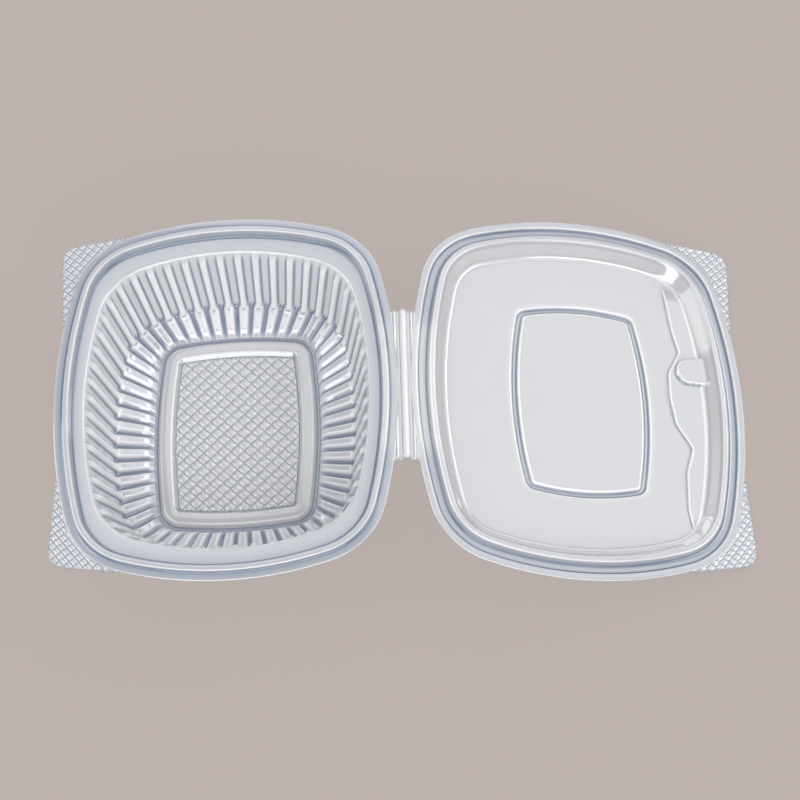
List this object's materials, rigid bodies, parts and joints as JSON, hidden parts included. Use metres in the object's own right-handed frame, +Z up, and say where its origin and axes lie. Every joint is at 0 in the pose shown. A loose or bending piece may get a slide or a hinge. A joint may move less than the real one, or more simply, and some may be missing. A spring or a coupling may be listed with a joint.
{
  "type": "plastic clamshell pack",
  "caption": "Clear thermoformed food pack lying open: a fluted two-tier tray, a living hinge and a shallow lid with corner tabs that snaps over the tray's rim.",
  "frame": {"origin": "middle of the tray's foot, on the table", "axes": "+X from the tray across the hinge to the lid, +Y along the hinge, +Z up"},
  "size_m": [0.2584, 0.15, 0.0367],
  "materials": {
    "clear_sheet": "gloss"
  },
  "bodies": {
    "tray": {"tray": "clear_sheet"},
    "lid": {"lid": "clear_sheet"}
  },
  "joints": [
    {"name": "lid_hinge", "type": "hinge", "parent": "tray", "child": "lid", "pos_m": [0.0669, 0, 0.0352], "axis": [0, -1, 0], "range_deg": [0, 194.8]}
  ]
}
